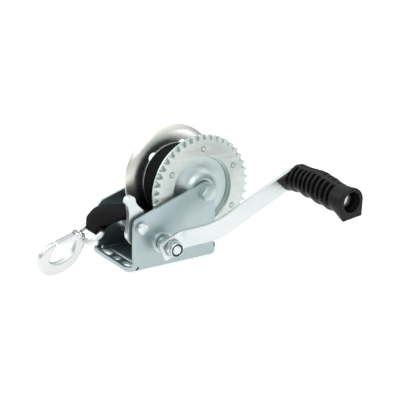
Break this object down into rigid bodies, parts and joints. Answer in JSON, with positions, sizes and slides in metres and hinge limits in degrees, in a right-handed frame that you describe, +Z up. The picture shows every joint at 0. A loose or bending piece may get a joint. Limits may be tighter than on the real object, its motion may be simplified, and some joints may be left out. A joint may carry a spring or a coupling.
{
  "type": "boat trailer winch",
  "caption": "Hand-cranked geared winch with a webbing drum, holding pawl, joggled crank arm and grip, and a snap hook on the webbing's end, on a folded steel base.",
  "frame": {"origin": "middle of the base plate's underside", "axes": "+Z up from the base, -X the way the webbing leaves, -Y the side of the crank"},
  "size_m": [0.283, 0.2347, 0.1383],
  "materials": {
    "zinc": "bright zinc plate with a slight blue cast, satin",
    "gear_zinc": "zinc-plated stamped gear, soft warm sheen",
    "flange_bright": "bright zinc plate, slightly warm",
    "bright_steel": "bright plated steel, fine satin",
    "forged": "pale plated forging, slightly grainy",
    "spring_steel": "drawn spring wire",
    "nylon": "dark blue nylon",
    "grip_rubber": "matte moulded rubber-like plastic",
    "webbing": "woven polyester webbing, lengthwise ribs"
  },
  "bodies": {
    "frame": {"frame_bracket": "zinc", "shaft_bushing_near": "bright_steel", "shaft_bushing_far": "bright_steel", "drum_spacer_tube": "zinc", "drum_axle_bolt": "zinc", "drum_axle_washer": "zinc", "drum_axle_nut": "zinc", "pawl_pivot_pin": "bright_steel", "pawl_pivot_clip": "spring_steel", "pawl_spring": "spring_steel", "strap_tail": "webbing"},
    "drum": {"drum_gear": "gear_zinc", "drum_flange_near": "zinc", "drum_flange_far": "flange_bright", "drum_hub_tube": "zinc", "strap_roll": "webbing", "strap_anchor_bolt": "bright_steel", "strap_anchor_nut": "bright_steel", "gear_rivet_1": "gear_zinc", "gear_rivet_2": "gear_zinc", "gear_rivet_3": "gear_zinc", "gear_rivet_4": "gear_zinc", "gear_rivet_5": "gear_zinc", "gear_rivet_6": "gear_zinc"},
    "crank": {"pinion_shaft": "bright_steel", "pinion_gear": "gear_zinc", "shaft_clip": "spring_steel", "crank_spacer_sleeve": "zinc", "crank_lock_nut": "bright_steel", "crank_nut_insert": "nylon", "crank_arm": "bright_steel", "grip_bolt": "bright_steel", "grip_washer": "bright_steel", "grip_nut": "bright_steel"},
    "grip": {"grip": "grip_rubber"},
    "pawl": {"pawl": "zinc"},
    "hook": {"snap_hook": "forged", "latch_rivet": "bright_steel", "latch_spring": "spring_steel"},
    "latch": {"hook_latch": "zinc"}
  },
  "joints": [
    {"name": "drum_spin", "type": "hinge", "parent": "frame", "child": "drum", "pos_m": [0.0415, 0, 0.0755], "axis": [0, -1, 0], "range_deg": [-6445.71, 154.29]},
    {"name": "pinion_spin", "type": "hinge", "parent": "frame", "child": "crank", "pos_m": [-0.01588, 0, 0.02837], "axis": [0, -1, 0], "range_deg": [-648.01, 27072.01]},
    {"name": "grip_spin", "type": "hinge", "parent": "crank", "child": "grip", "pos_m": [0.12245, 0, 0.08967], "axis": [0, -1, 0], "continuous": true},
    {"name": "pawl_tilt", "type": "hinge", "parent": "frame", "child": "pawl", "pos_m": [-0.0414, 0, 0.0486], "axis": [0, -1, 0], "range_deg": [-14, 17]},
    {"name": "hook_swing", "type": "hinge", "parent": "frame", "child": "hook", "pos_m": [-0.0746, 0, 0.0425], "axis": [0, -1, 0], "range_deg": [-45, 0]},
    {"name": "latch_swing", "type": "hinge", "parent": "hook", "child": "latch", "pos_m": [-0.0961, 0, 0.0393], "axis": [0, -1, 0], "range_deg": [0, 25], "stiffness_Nm_per_rad": 0.05, "springref_deg": -20.05}
  ],
  "couplings": [
    {"joint": "pinion_spin", "follows": "drum_spin", "ratio": -4.2}
  ]
}
